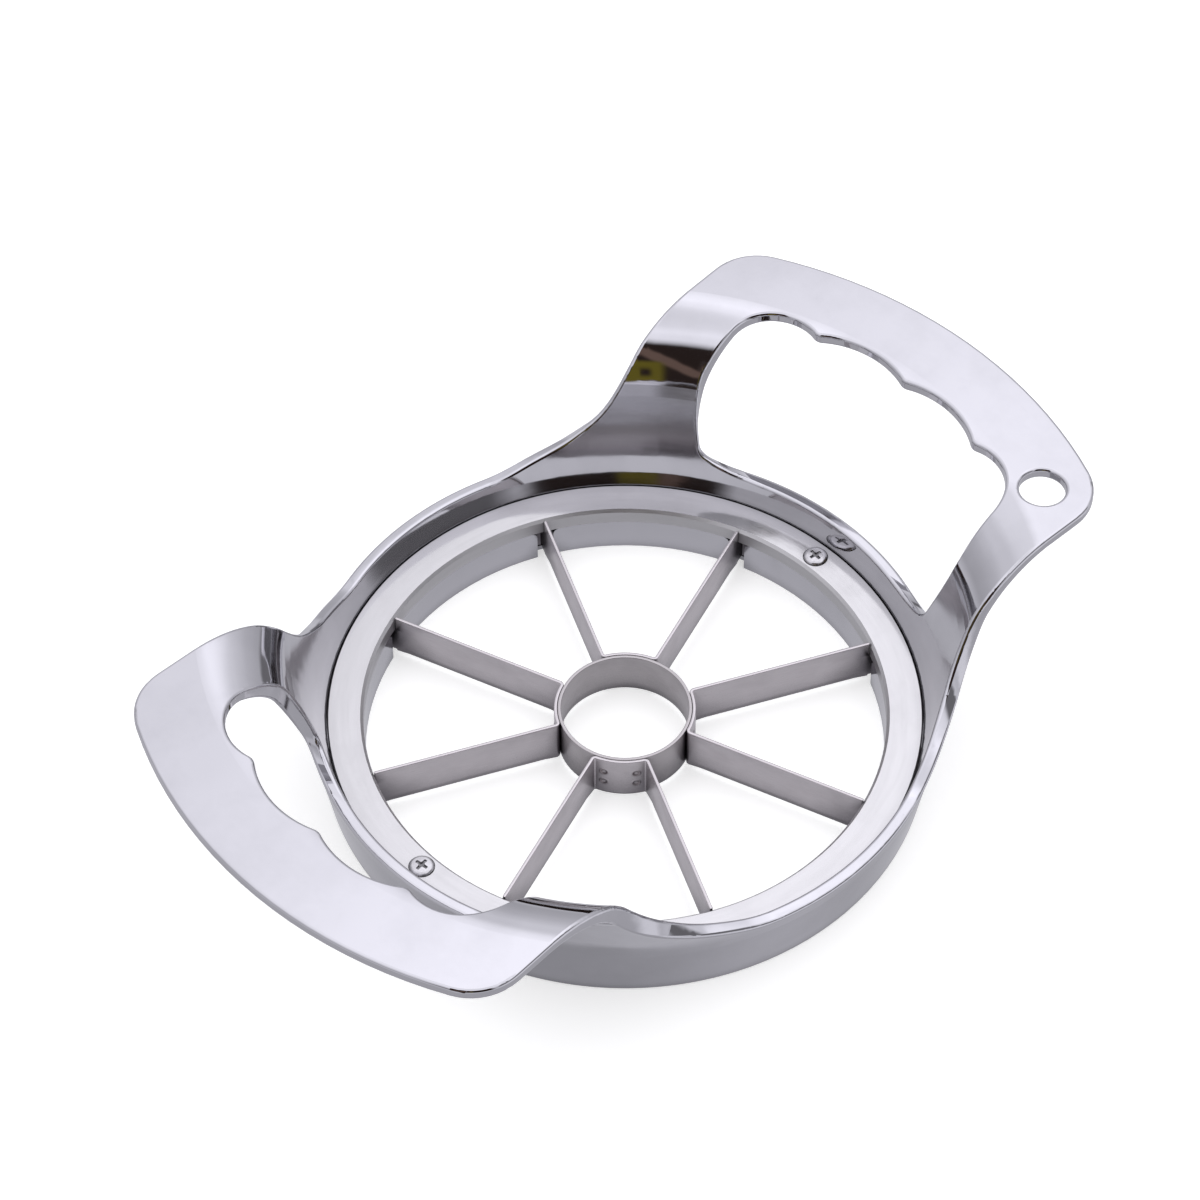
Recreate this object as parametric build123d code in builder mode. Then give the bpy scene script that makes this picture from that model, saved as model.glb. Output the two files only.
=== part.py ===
"""Push-down apple slicer: a die-cast two-handled frame with eight blades and a coring tube.

Millimetres, +Z up. The origin is the centre of the slicing ring, on the surface the tool stands on.
X runs from handle to handle, and the handle with the hanging hole is at +X.
"""

from build123d import *

import os
from math import cos, degrees, hypot, radians, sin, sqrt, tan

os.makedirs("parts", exist_ok=True)

# ---------------------------------------------------------------- driving dimensions

# Slicing ring of the casting
bore_diameter = 90.0            # clear opening that the fruit is pushed through
base_width = 7.2                # from the bore to the outside of the wall, at the base
wall_draft = 9.0                # degrees, outward lean of the outside of the wall
wall_blend_radius = 30.0        # where the outside of the wall turns into the back of the arms
rim_height = 14.6               # top of the wall at the sides and in the hand openings
rim_flat = 16.0                 # along X, where the level rim ends and the arms begin
lip_wall = 1.6                  # lip between the bore and the blade pockets
floor_thickness = 1.0           # metal left under the blade pockets

# Retaining ring, let into the casting
ring_inset = 1.0                # its edge, from the outside of the wall at the base
ring_thickness = 3.0
ring_top = 9.45                 # height of its top face
ring_clearance = 0.1            # radial gap in its recess
ring_inner_chamfer = 0.5
ring_outer_chamfer = 0.25

# Handles
handle_reach = 83.8             # from the centre of the ring to a handle's outer edge
handle_width = 85.4             # across a handle, corner to corner
handle_taper = 2.6              # degrees, by which each side closes in toward the ring
handle_top = 39.4
handle_thickness = 2.2
handle_corner_radius = 10.0
waist_radius = 10.0
waist_clearance = 3.5           # circle that the waists curve into, outside the rim
arm_foot_lean = 10.5            # degrees from upright, inside face of the arms at the ring
arm_lean = 21.5                 # the same where they bend into the handles
arm_sweep_radius = 90.0         # between the two
arm_sweep_drop = 5.0            # its middle, below halfway from the ring to the top
arm_crown = 5.0                 # by which the arms' sides turn from the rim into the handles' sides
arm_inset = 39.3                # from a handle's outer edge to where its arms reach full height
arm_bend_radius = 15.5          # bend from the arm into the flat of the handle, on top
edge_round = 0.6                # every edge of the handles, arms, openings and rim
base_round = 0.5                # outer edge of the base
clear_angle = 25.0              # degrees; faces that meet at more than this have an edge to round

# Hand openings, with four finger hollows in the outer side
opening_inset = 1.4             # where an opening starts, out from the bore
opening_inner_radius = 4.5
opening_floor_radius = 4.2      # where an opening's sides run into its floor
opening_side = 12.3             # metal left beside it, to a handle's side at the corner
middle_finger_radius = 17.8
middle_finger_inset = 13.6      # metal left outside the two middle hollows, to the handle's edge
end_finger_radius = 9.2
end_finger_inset = 17.0
finger_ridge_radius = 2.0

# Hanging hole
hang_hole_diameter = 8.0
hang_hole_inset = 16.9          # its centre, from the handle's edge
hang_hole_side = 9.1            # and from the handle's side

# Coring tube and blade strips
core_outer_diameter = 23.2
core_wall = 0.6
blade_thickness = 0.6
blade_bottom = 0.7
blade_top = 9.35
blade_heading = 18.3            # degrees, first blade from +X
blade_pair_angle = 45.0         # between the two blades of one strip
strip_count = 4
weld_gap = 0.03                 # between a strip and the coring tube
strip_bend_radius = 0.9         # outside of the fold where the strip leaves the tube
ring_gap = 0.12                 # end of the blade's upper part to the retaining ring
tab_length = 5.0                # bent end of a blade, behind the lip
tab_clearance = 0.15            # around the tab in its pocket
slot_side = 1.5                 # open width of the lip on each side of a blade
slot_corner_radius = 1.2
spot_weld_diameter = 1.3
spot_weld_depth = 0.12
spot_weld_spread = 13.0         # degrees from the middle of the strip's wrap
spot_weld_pitch = 2.6           # between the two welds, one above the other

# Screws that hold the retaining ring
screw_inset = 3.0               # from the bore to the screws' centres
screw_head_diameter = 4.3
screw_head_height = 1.1
screw_head_round = 0.7
screw_tip_chamfer = 0.4
screw_head_sink = 0.45          # how far the head sits into the ring
screw_shank_diameter = 2.2
screw_length = 6.6
screw_clearance = 0.1           # between the shank and the ring's hole
thread_clearance = 0.03         # between the shank and the hole in the casting
drive_cross_length = 2.2
drive_cross_width = 0.5
drive_cross_depth = 0.5

clearing = 10.0                 # by which cuts reach past the outside of the casting
snug = 0.01                     # two points nearer than this are one

# ---------------------------------------------------------------- sizes that follow

bore_radius = bore_diameter / 2
base_radius = bore_radius + base_width
ring_radius = base_radius - ring_inset
screw_circle_radius = bore_radius + screw_inset
opening_start = bore_radius + opening_inset
recess_radius = ring_radius + ring_clearance
seat_height = ring_top - ring_thickness
rim_radius = base_radius + rim_height * tan(radians(wall_draft))
core_radius = core_outer_diameter / 2
wrap_inner = core_radius + weld_gap
wrap_outer = wrap_inner + blade_thickness
wrap_middle = (wrap_inner + wrap_outer) / 2
tab_inner = bore_radius + lip_wall + tab_clearance
tab_outer = tab_inner + blade_thickness
tab_bottom = floor_thickness + tab_clearance
tab_top = seat_height - tab_clearance
blade_end = bore_radius - ring_gap
blade_middle = (blade_top + blade_bottom) / 2
half_pair = blade_pair_angle / 2
faces_meet = -blade_thickness / 2 / sin(radians(half_pair))  # outer faces of a strip's blades, on X
strip_headings = [blade_heading + half_pair + number * 360 / strip_count for number in range(strip_count)]
head_seat = ring_top - screw_head_sink
screw_grip = ring_thickness - screw_head_sink
handle_bottom = handle_top - handle_thickness
foot_slope = tan(radians(arm_foot_lean))
arm_slope = tan(radians(arm_lean))
sweep_height = (handle_top + ring_top) / 2 - arm_sweep_drop
sweep_along = recess_radius + (sweep_height - ring_top) * foot_slope
arm_crest_radius = sweep_along + (handle_top - sweep_height) * arm_slope
arm_back_radius = arm_crest_radius + handle_thickness
waist_circle_radius = rim_radius + waist_clearance
end_finger_centre = handle_reach - end_finger_inset - end_finger_radius
middle_finger_centre = handle_reach - middle_finger_inset - middle_finger_radius
end_finger_spacing = handle_width - 2 * (opening_side + end_finger_radius)
finger_pitch = end_finger_spacing / 3
corner_along = sqrt(handle_reach**2 - (handle_width / 2) ** 2)
beyond = handle_reach + clearing
above = handle_top + clearing


# The rise of the arms seen from the side, as shares of its length and of its height. The arms' sides
# are rounded off below it, so it ends above the handles.
arm_top_along = handle_reach - arm_inset
rise_shares = [
    (0.0, 0.0),
    (0.28, 0.082),
    (0.42, 0.16),
    (0.55, 0.303),
    (0.667, 0.475),
    (0.775, 0.685),
    (0.86, 0.823),
    (0.933, 0.959),
    (1.0, 1.12),
]
rise_length = arm_top_along - rim_flat
rise_height = handle_top - rim_height
arm_rise = [Vector(rim_flat + a * rise_length, rim_height + h * rise_height) for a, h in rise_shares]
rise_end = Vector(1, 1.75)      # its direction at full height


def side_at(along):
    """Half width of a handle's outline at this distance from the centre of the ring."""
    return handle_width / 2 - (corner_along - along) * tan(radians(handle_taper))


def on_circle(radius, angle):
    """The point of the plan at this radius and heading in degrees."""
    return (radius * cos(radians(angle)), radius * sin(radians(angle)))


def wedge(start, end, apex=0.0):
    """Corners of a slice of the plan between two headings in degrees, from a point on X."""
    corners = [on_circle(beyond, start), on_circle(beyond, end)]
    return [(apex, 0)] + [(along + apex, across) for along, across in corners]


def fold_slice(heading, turn, back, ahead):
    """Slice behind the lip that reaches ahead of a blade on the side it folds to, and back."""
    start = heading - turn * degrees(back / tab_inner)
    end = heading + turn * degrees(ahead / tab_inner)
    return wedge(min(start, end), max(start, end))


def face_angle(edge, faces):
    """Degrees between two faces where they share an edge; a smooth join has none."""
    first, second = [face.normal_at(edge @ 0.5) for face in faces]
    return first.get_angle(second)


def sharp_edges(part):
    """Edges where two faces of a part meet at a clear angle."""
    meeting = {}
    for face in part.faces():
        for edge in face.edges():
            meeting.setdefault(edge, []).append(face)
    shared = [(edge, faces) for edge, faces in meeting.items() if len(faces) == 2]
    return [edge for edge, faces in shared if face_angle(edge, faces) > clear_angle]


def finish(part, name):
    """Label one finished piece and write it."""
    part.label = name
    export_step(part, f"parts/{name}.step")


# ---------------------------------------------------------------- space for a hand

# What is cut away at +X: four finger hollows, and a floor at the rim of the ring wall.
with BuildPart() as hand_space:
    with BuildSketch(Plane.XY.offset(rim_height)) as hand_outline:
        with Locations(((opening_start + end_finger_centre) / 2, 0)):
            Rectangle(end_finger_centre - opening_start, end_finger_spacing + 2 * end_finger_radius)
        inner_corners = hand_outline.vertices().group_by(Axis.X)[0]
        fillet(inner_corners, opening_inner_radius)
        with Locations((end_finger_centre, 0)):
            with GridLocations(1, end_finger_spacing, 1, 2):
                Circle(end_finger_radius)
        with Locations((middle_finger_centre, 0)):
            with GridLocations(1, finger_pitch, 1, 2):
                Circle(middle_finger_radius)
        split(bisect_by=Plane.YZ.offset(opening_start), keep=Keep.TOP)
        ridges = hand_outline.vertices().filter_by(lambda v: v.X > end_finger_centre + snug)
        fillet(ridges, finger_ridge_radius)
    extrude(amount=above)
    floor_edges = hand_space.edges().group_by(Axis.Z)[0]
    fillet(floor_edges, opening_floor_radius)

# ---------------------------------------------------------------- outline of the casting

# Seen from above: a wide arc about the ring at each end, sides that taper in toward it, and waists.
with BuildSketch(Plane.XY) as plan:
    Circle(handle_reach)
    with BuildLine():
        slant = Line((0, side_at(0)), (beyond, side_at(beyond)))
        mirror(slant, about=Plane.YZ)
        mirror(about=Plane.XZ)
        end = Line(slant @ 1, ((slant @ 1).X, -(slant @ 1).Y))
        mirror(end, about=Plane.YZ)
    make_face(mode=Mode.INTERSECT)
    fillet(plan.vertices().filter_by(lambda v: abs(v.X) > handle_reach / 2), handle_corner_radius)
    Circle(waist_circle_radius)
    on_waist = [v for v in plan.vertices() if abs(hypot(v.X, v.Y) - waist_circle_radius) < snug]
    fillet(on_waist, waist_radius)

# Seen from the side: level along the ring, then up into the arms. The two outlines meet in a round.
with BuildPart() as envelope:
    add(plan.sketch)
    extrude(amount=above)
    with BuildSketch(Plane.XZ) as side_cut:
        with BuildLine():
            rise = Spline(arm_rise, tangents=[(1, 0), rise_end])
            fall = mirror(rise, about=Plane.YZ)
            Line(rise @ 0, fall @ 0)
            peak = arm_rise[-1] + rise_end * (above / rise_end.Y)
            across_top = Line(peak, (-peak.X, peak.Y))
            Line(rise @ 1, across_top @ 0)
            Line(fall @ 1, across_top @ 1)
        make_face()
    extrude(amount=beyond, both=True, mode=Mode.SUBTRACT)
    crowns = [edge for edge in sharp_edges(envelope) if snug < (edge @ 0.5).Z < above - snug]
    fillet(crowns, arm_crown)

# ---------------------------------------------------------------- cast body

# One turned profile holds the ring wall, the leaning arm and the flat of the handles.
with BuildPart() as cast_body:
    with BuildSketch(Plane.XZ) as dish_profile:
        with BuildLine():
            Polyline(
                (bore_radius, 0),
                (base_radius, 0),
                (rim_radius, rim_height),
                (arm_back_radius, handle_bottom),
                (beyond, handle_bottom),
                (beyond, handle_top),
                (arm_crest_radius, handle_top),
                (sweep_along, sweep_height),
                (recess_radius, ring_top),
                (recess_radius, seat_height),
                (bore_radius, seat_height),
                close=True,
            )
        make_face()
        crest = dish_profile.vertices().sort_by_distance((arm_crest_radius, handle_top))[0]
        fillet(crest, arm_bend_radius)
        back = dish_profile.vertices().sort_by_distance((arm_back_radius, handle_bottom))[0]
        fillet(back, arm_bend_radius - handle_thickness)
        shoulder = dish_profile.vertices().sort_by_distance((rim_radius, rim_height))[0]
        fillet(shoulder, wall_blend_radius)
        sweep = dish_profile.vertices().sort_by_distance((sweep_along, sweep_height))[0]
        fillet(sweep, arm_sweep_radius)
    revolve(axis=Axis.Z)

    # What lies outside the two outlines goes.
    add(envelope.part, mode=Mode.INTERSECT)

    # The two hand openings.
    add(hand_space.part, mode=Mode.SUBTRACT)
    mirror(hand_space.part, about=Plane.YZ, mode=Mode.SUBTRACT)

    # Hanging hole.
    with BuildSketch(Plane.XY.offset(handle_top)):
        with Locations((handle_reach - hang_hole_inset, hang_hole_side - handle_width / 2)):
            Circle(hang_hole_diameter / 2)
    extrude(amount=-2 * handle_thickness, mode=Mode.SUBTRACT)

    # Every edge from the rim upward is rounded, and so is the outer edge of the base.
    fillet([edge for edge in sharp_edges(cast_body) if (edge @ 0.5).Z > rim_height - edge_round], edge_round)
    base_edges = cast_body.edges().group_by(Axis.Z)[0].sort_by(SortBy.LENGTH)
    fillet(base_edges[-1], base_round)

    # A slot in the lip and a pocket behind it for the folded end of each blade.
    for middle in strip_headings:
        for turn in (-1, 1):
            heading = middle + turn * half_pair
            radial = Plane.XY.rotated((0, 0, heading))
            across_lip = Plane(origin=(0, 0, 0), x_dir=radial.y_dir, z_dir=radial.x_dir)
            with BuildSketch(across_lip.offset(bore_radius - lip_wall)):
                with BuildLine():
                    shoulder = seat_height - slot_corner_radius
                    mouth = slot_side + slot_corner_radius
                    Polyline((-slot_side, shoulder), (-slot_side, 0), (slot_side, 0), (slot_side, shoulder))
                    RadiusArc((slot_side, shoulder), (mouth, seat_height), slot_corner_radius)
                    Line((mouth, seat_height), (-mouth, seat_height))
                    RadiusArc((-mouth, seat_height), (-slot_side, shoulder), slot_corner_radius)
                make_face()
            extrude(amount=2 * lip_wall, mode=Mode.SUBTRACT)
            pocket = fold_slice(heading, turn, slot_side, tab_length + tab_clearance)
            with BuildSketch(Plane.XY.offset(floor_thickness)):
                Circle(tab_outer + tab_clearance)
                Circle(bore_radius + lip_wall, mode=Mode.SUBTRACT)
                Polygon(*pocket, align=None, mode=Mode.INTERSECT)
            extrude(amount=seat_height - floor_thickness, mode=Mode.SUBTRACT)

    # Holes for the two screws.
    with BuildSketch(Plane.XY.offset(seat_height)):
        with PolarLocations(screw_circle_radius, 2):
            Circle(screw_shank_diameter / 2 + thread_clearance)
    extrude(amount=screw_grip - screw_length - thread_clearance, mode=Mode.SUBTRACT)

finish(cast_body.part, "cast_body")

# ---------------------------------------------------------------- retaining ring

with BuildPart() as retaining_ring:
    with BuildSketch(Plane.XY.offset(seat_height)):
        Circle(ring_radius)
        Circle(bore_radius, mode=Mode.SUBTRACT)
    extrude(amount=ring_thickness)
    top_rims = retaining_ring.edges().filter_by(GeomType.CIRCLE).group_by(Axis.Z)[-1].sort_by(SortBy.RADIUS)
    chamfer(top_rims[0], ring_inner_chamfer)
    chamfer(top_rims[-1], ring_outer_chamfer)
    with Locations(Plane.XY.offset(ring_top)):
        with PolarLocations(screw_circle_radius, 2):
            CounterBoreHole(
                radius=screw_shank_diameter / 2 + screw_clearance,
                counter_bore_radius=screw_head_diameter / 2 + screw_clearance,
                counter_bore_depth=screw_head_sink,
            )

finish(retaining_ring.part, "retaining_ring")

# ---------------------------------------------------------------- coring tube

with BuildPart() as core_tube:
    with BuildSketch(Plane.XY.offset(blade_bottom)):
        Circle(core_radius)
        Circle(core_radius - core_wall, mode=Mode.SUBTRACT)
    extrude(amount=blade_top - blade_bottom)

finish(core_tube.part, "core_tube")

# ---------------------------------------------------------------- blade strips

# Each strip is one band of steel: a blade, a wrap round an eighth of the coring tube, and a blade.
for number, middle in enumerate(strip_headings, start=1):
    strip_plane = Plane.XY.rotated((0, 0, middle))
    with BuildPart() as blade_strip:
        with BuildSketch(strip_plane.offset(blade_bottom)) as band:
            Circle(wrap_outer)
            Circle(wrap_inner, mode=Mode.SUBTRACT)
            Polygon(*wedge(-half_pair, half_pair, faces_meet), align=None, mode=Mode.INTERSECT)
            blade_centre = (wrap_middle + blade_end) / 2
            with PolarLocations(blade_centre, 2, -half_pair, blade_pair_angle, endpoint=True):
                Rectangle(blade_end - wrap_middle, blade_thickness)
            for turn in (-1, 1):
                heel = Vector(wrap_inner, turn * blade_thickness / 2).rotate(Axis.Z, turn * half_pair)
                fillet(band.vertices().sort_by_distance(heel)[0], strip_bend_radius)
        extrude(amount=blade_top - blade_bottom)

        # The lower part of each blade goes on through the lip and folds behind it.
        for turn in (-1, 1):
            fold = fold_slice(turn * half_pair, turn, 0, tab_length)
            with BuildSketch(strip_plane.offset(tab_bottom)):
                Circle(tab_outer)
                Circle(tab_inner, mode=Mode.SUBTRACT)
                Polygon(*fold, align=None, mode=Mode.INTERSECT)
                with PolarLocations((blade_end + tab_outer) / 2 - blade_thickness, 1, turn * half_pair):
                    Rectangle(tab_outer - blade_end + 2 * blade_thickness, blade_thickness)
            extrude(amount=tab_top - tab_bottom)

        # Four spot welds hold the wrap to the tube.
        for spread in (-spot_weld_spread, spot_weld_spread):
            outward = Plane.XY.rotated((0, 0, middle + spread))
            weld_plane = Plane(origin=(0, 0, blade_middle), x_dir=outward.y_dir, z_dir=outward.x_dir)
            with BuildSketch(weld_plane.offset(wrap_outer + spot_weld_depth)):
                with GridLocations(1, spot_weld_pitch, 1, 2):
                    Circle(spot_weld_diameter / 2)
            extrude(amount=-2 * spot_weld_depth, mode=Mode.SUBTRACT)
    finish(blade_strip.part, f"blade_strip_{number}")

# ---------------------------------------------------------------- ring screws

for number, along in enumerate((screw_circle_radius, -screw_circle_radius), start=1):
    head_plane = Plane((along, 0, head_seat))
    with BuildPart() as ring_screw:
        with BuildSketch(head_plane):
            Circle(screw_head_diameter / 2)
        extrude(amount=screw_head_height)
        crown = ring_screw.edges().group_by(Axis.Z)[-1]
        fillet(crown, screw_head_round)
        with BuildSketch(head_plane.offset(screw_head_height)):
            Rectangle(drive_cross_length, drive_cross_width)
            Rectangle(drive_cross_width, drive_cross_length)
        extrude(amount=-drive_cross_depth, mode=Mode.SUBTRACT)
        with BuildSketch(head_plane):
            Circle(screw_shank_diameter / 2)
        extrude(amount=-screw_length)
        tip = ring_screw.edges().group_by(Axis.Z)[0]
        chamfer(tip, screw_tip_chamfer)
    finish(ring_screw.part, f"ring_screw_{number}")
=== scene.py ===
"""Push-down apple slicer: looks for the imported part, laid out as a Blender add-on.

Metres, +Z up. The origin is the centre of the slicing ring on the worktop, and the handle with the
hanging hole is at +X. Nothing moves on this tool, so every piece rides on the body "root".
"""

from math import atan2, cos, exp, hypot, pi, radians, sin, sqrt, tau

import bpy
from bpy.props import FloatProperty, FloatVectorProperty, IntProperty, PointerProperty
from mathutils import Matrix, Vector


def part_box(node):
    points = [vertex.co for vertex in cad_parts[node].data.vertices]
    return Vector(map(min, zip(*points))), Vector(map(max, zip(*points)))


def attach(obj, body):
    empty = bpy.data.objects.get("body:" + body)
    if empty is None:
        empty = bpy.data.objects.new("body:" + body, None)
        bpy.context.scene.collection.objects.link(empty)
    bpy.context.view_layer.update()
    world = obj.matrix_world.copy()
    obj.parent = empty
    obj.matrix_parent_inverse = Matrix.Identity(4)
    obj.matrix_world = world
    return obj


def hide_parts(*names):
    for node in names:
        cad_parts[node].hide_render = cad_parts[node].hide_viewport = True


bl_info = {
    "name": "Apple Slicer",
    "version": (1, 0, 0),
    "blender": (4, 5, 0),
    "location": "3D View > Sidebar > Slicer",
    "description": "Builds the blades, tube and screws of an apple slicer and finishes its chrome casting",
    "category": "Object",
}

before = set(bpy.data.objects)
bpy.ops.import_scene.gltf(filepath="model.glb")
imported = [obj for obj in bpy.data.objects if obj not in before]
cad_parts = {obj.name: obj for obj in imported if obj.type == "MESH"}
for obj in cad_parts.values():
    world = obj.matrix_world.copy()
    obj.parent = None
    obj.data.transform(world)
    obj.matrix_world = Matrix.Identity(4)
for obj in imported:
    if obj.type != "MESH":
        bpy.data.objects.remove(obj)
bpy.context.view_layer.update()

strip_low, strip_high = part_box("blade_strip_1")
tube_low, tube_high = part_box("core_tube")
screw_low, screw_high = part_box("ring_screw_1")

STRIPS = ("blade_strip_1", "blade_strip_2", "blade_strip_3", "blade_strip_4")
SCREWS = ("ring_screw_1", "ring_screw_2")
SHARP_EDGE = radians(38)  # sharper edges than this aren't shaded smooth
HALF_WEDGE = radians(22.5)  # half the angle between two of the eight blades
WELD_PLACES = [(a, h) for a in (-13.0, 13.0) for h in (-0.0013, 0.0013)]  # degrees and height on a wrap
RUBBED_HEIGHT = 0.0003  # height over which the rims of the sheet steel are rubbed
GRAIN_UNITS = 100  # grain map units in a metre, so centimetres
GRAIN_INNER = 3.1  # where the grain map of the inner side starts, clear of the outer side
THREAD_DEPTH = 0.00024  # from the outside of the screw's thread to its core


# ---------------------------------------------------------------- sizes and colours


class CastingSettings(bpy.types.PropertyGroup):
    """Chrome plate on the casting."""

    chrome: FloatVectorProperty(
        name="Chrome", description="Colour of the plating", subtype="COLOR", size=3, min=0, max=1,
        default=(0.60, 0.595, 0.622),
    )
    polish: FloatProperty(
        name="Roughness", description="Roughness of the polished faces", subtype="FACTOR", min=0, max=1,
        default=0.045,
    )
    satin: FloatProperty(
        name="Satin walls", description="Roughness added on the walls that the polishing wheel misses",
        subtype="FACTOR", min=0, max=1, default=0.09,
    )
    ripple: FloatProperty(
        name="Ripple", description="Height of the soft ripples that polishing leaves", subtype="DISTANCE",
        unit="LENGTH", min=0, default=0.000012, precision=6,
    )
    drawn: FloatProperty(
        name="Drawn lines", description="Depth of the fine lines round the satin walls", subtype="DISTANCE",
        unit="LENGTH", min=0, default=0.0000022, precision=6,
    )


class RingSettings(bpy.types.PropertyGroup):
    """Flat ring that clamps the blades."""

    steel: FloatVectorProperty(
        name="Steel", description="Colour of the ring", subtype="COLOR", size=3, min=0, max=1,
        default=(0.595, 0.588, 0.592),
    )
    satin: FloatProperty(
        name="Roughness", description="Roughness of the turned face", subtype="FACTOR", min=0, max=1,
        default=0.11,
    )
    groove: FloatProperty(
        name="Turning marks", description="Spacing of the fine turning marks", subtype="DISTANCE",
        unit="LENGTH", min=0.00005, default=0.00022, precision=6,
    )


class BladeSettings(bpy.types.PropertyGroup):
    """Steel strips that are each folded into two blades."""

    thickness: FloatProperty(
        name="Thickness", description="Thickness of the strip", subtype="DISTANCE", unit="LENGTH",
        min=0.0001, default=0.0006, precision=5,
    )
    bottom: FloatProperty(
        name="Bottom", description="Height of the cutting edge", subtype="DISTANCE", unit="LENGTH",
        default=strip_low.z, precision=5,
    )
    top: FloatProperty(
        name="Top", description="Height of the upper edge", subtype="DISTANCE", unit="LENGTH",
        default=strip_high.z, precision=5,
    )
    heading: FloatProperty(
        name="First blade", description="Heading of the first blade from +X", subtype="ANGLE",
        unit="ROTATION", default=radians(18.3),
    )
    reach: FloatProperty(
        name="Reach", description="Radius at which the upper part of a blade ends", subtype="DISTANCE",
        unit="LENGTH", default=0.04488, precision=5,
    )
    wrap: FloatProperty(
        name="Wrap", description="Radius of the middle of the strip round the coring tube",
        subtype="DISTANCE", unit="LENGTH", default=0.01193, precision=5,
    )
    fold: FloatProperty(
        name="Fold", description="Radius of the folds, at the middle of the strip", subtype="DISTANCE",
        unit="LENGTH", default=0.0006, precision=5,
    )
    tab_radius: FloatProperty(
        name="Tab radius", description="Radius of the folded ends behind the lip", subtype="DISTANCE",
        unit="LENGTH", default=0.04705, precision=5,
    )
    tab_length: FloatProperty(
        name="Tab length", description="Length of each folded end", subtype="DISTANCE", unit="LENGTH",
        default=0.005, precision=5,
    )
    tab_bottom: FloatProperty(
        name="Tab bottom", description="Lower edge of the folded ends", subtype="DISTANCE",
        unit="LENGTH", default=0.00115, precision=5,
    )
    tab_top: FloatProperty(
        name="Tab top", description="Upper edge of the folded ends", subtype="DISTANCE", unit="LENGTH",
        default=0.0063, precision=5,
    )
    weld_diameter: FloatProperty(
        name="Spot weld", description="Diameter of a spot weld", subtype="DISTANCE", unit="LENGTH",
        default=0.0013, precision=5,
    )
    steel: FloatVectorProperty(
        name="Steel", description="Colour of the strip", subtype="COLOR", size=3, min=0, max=1,
        default=(0.74, 0.70, 0.712),
    )
    brushed: FloatProperty(
        name="Roughness", description="Roughness of the brushed faces", subtype="FACTOR", min=0, max=1,
        default=0.36,
    )


class TubeSettings(bpy.types.PropertyGroup):
    """Coring tube in the middle."""

    radius: FloatProperty(
        name="Radius", description="Outer radius of the coring tube", subtype="DISTANCE", unit="LENGTH",
        default=tube_high.x, precision=5,
    )
    wall: FloatProperty(
        name="Wall", description="Wall of the coring tube", subtype="DISTANCE", unit="LENGTH",
        default=0.0006, precision=5,
    )
    steel: FloatVectorProperty(
        name="Steel", description="Colour of the tube", subtype="COLOR", size=3, min=0, max=1,
        default=(0.58, 0.550, 0.552),
    )
    brushed: FloatProperty(
        name="Roughness", description="Roughness of the brushed faces", subtype="FACTOR", min=0, max=1,
        default=0.38,
    )
    steps: IntProperty(name="Steps", description="Faces round the tube", min=48, max=512, default=240)


class ScrewSettings(bpy.types.PropertyGroup):
    """Cross-head screws that hold the ring."""

    head: FloatProperty(
        name="Head", description="Diameter of the head", subtype="DISTANCE", unit="LENGTH",
        default=screw_high.x - screw_low.x, precision=5,
    )
    top: FloatProperty(
        name="Top", description="Height of the top of the head", subtype="DISTANCE", unit="LENGTH",
        default=screw_high.z, precision=5,
    )
    tip: FloatProperty(
        name="Tip", description="Height of the tip of the screw", subtype="DISTANCE", unit="LENGTH",
        default=screw_low.z, precision=5,
    )
    head_height: FloatProperty(
        name="Head height", description="Height of the head above its seat", subtype="DISTANCE",
        unit="LENGTH", default=0.0011, precision=5,
    )
    thread: FloatProperty(
        name="Thread", description="Outer diameter of the thread", subtype="DISTANCE", unit="LENGTH",
        default=0.0022, precision=5,
    )
    pitch: FloatProperty(
        name="Pitch", description="Pitch of the thread", subtype="DISTANCE", unit="LENGTH",
        default=0.0008, precision=5,
    )
    recess: FloatProperty(
        name="Recess", description="Depth of the cross recess", subtype="DISTANCE", unit="LENGTH",
        default=0.00052, precision=5,
    )
    steel: FloatVectorProperty(
        name="Steel", description="Colour of the screws", subtype="COLOR", size=3, min=0, max=1,
        default=(0.60, 0.59, 0.605),
    )


class StageSettings(bpy.types.PropertyGroup):
    """Floor, surroundings and camera."""

    floor: FloatVectorProperty(
        name="Floor", description="Colour of the floor", subtype="COLOR", size=3, min=0, max=1,
        default=(0.80, 0.805, 0.775),
    )
    light: FloatProperty(
        name="Light", description="Strength of the studio surroundings", min=0, soft_max=5, default=2.0,
    )
    distance: FloatProperty(
        name="Camera distance", description="From the camera to the centre of the ring",
        subtype="DISTANCE", unit="LENGTH", default=0.68283,
    )
    azimuth: FloatProperty(
        name="Camera azimuth", description="Turn of the camera about Z, seen from -Y",
        subtype="ANGLE", unit="ROTATION", default=radians(-44.679),
    )
    elevation: FloatProperty(
        name="Camera elevation", description="Height of the camera over the worktop", subtype="ANGLE",
        unit="ROTATION", default=radians(49.743),
    )
    roll: FloatProperty(
        name="Camera roll", description="Roll of the camera", subtype="ANGLE", unit="ROTATION",
        default=radians(-0.413),
    )
    lens: FloatProperty(
        name="Lens", description="Focal length on a 36 mm sensor", subtype="DISTANCE_CAMERA",
        unit="CAMERA", default=117.91,
    )


# ---------------------------------------------------------------- mesh code


def ease(value):
    """Smooth step from 0 to 1."""
    value = min(1.0, max(0.0, value))
    return value * value * (3 - 2 * value)


def rise(start, share):
    """A value that goes from start to 1 while the share goes from 0 to 1."""
    return start + (1 - start) * share


def bell(value, middle, width):
    """Bell curve of height 1 about this middle."""
    return exp(-(((value - middle) / width) ** 2))


def spread(start, end, count):
    """Evenly spaced values from start to end, both kept."""
    return [start + (end - start) * i / (count - 1) for i in range(count)]


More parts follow.
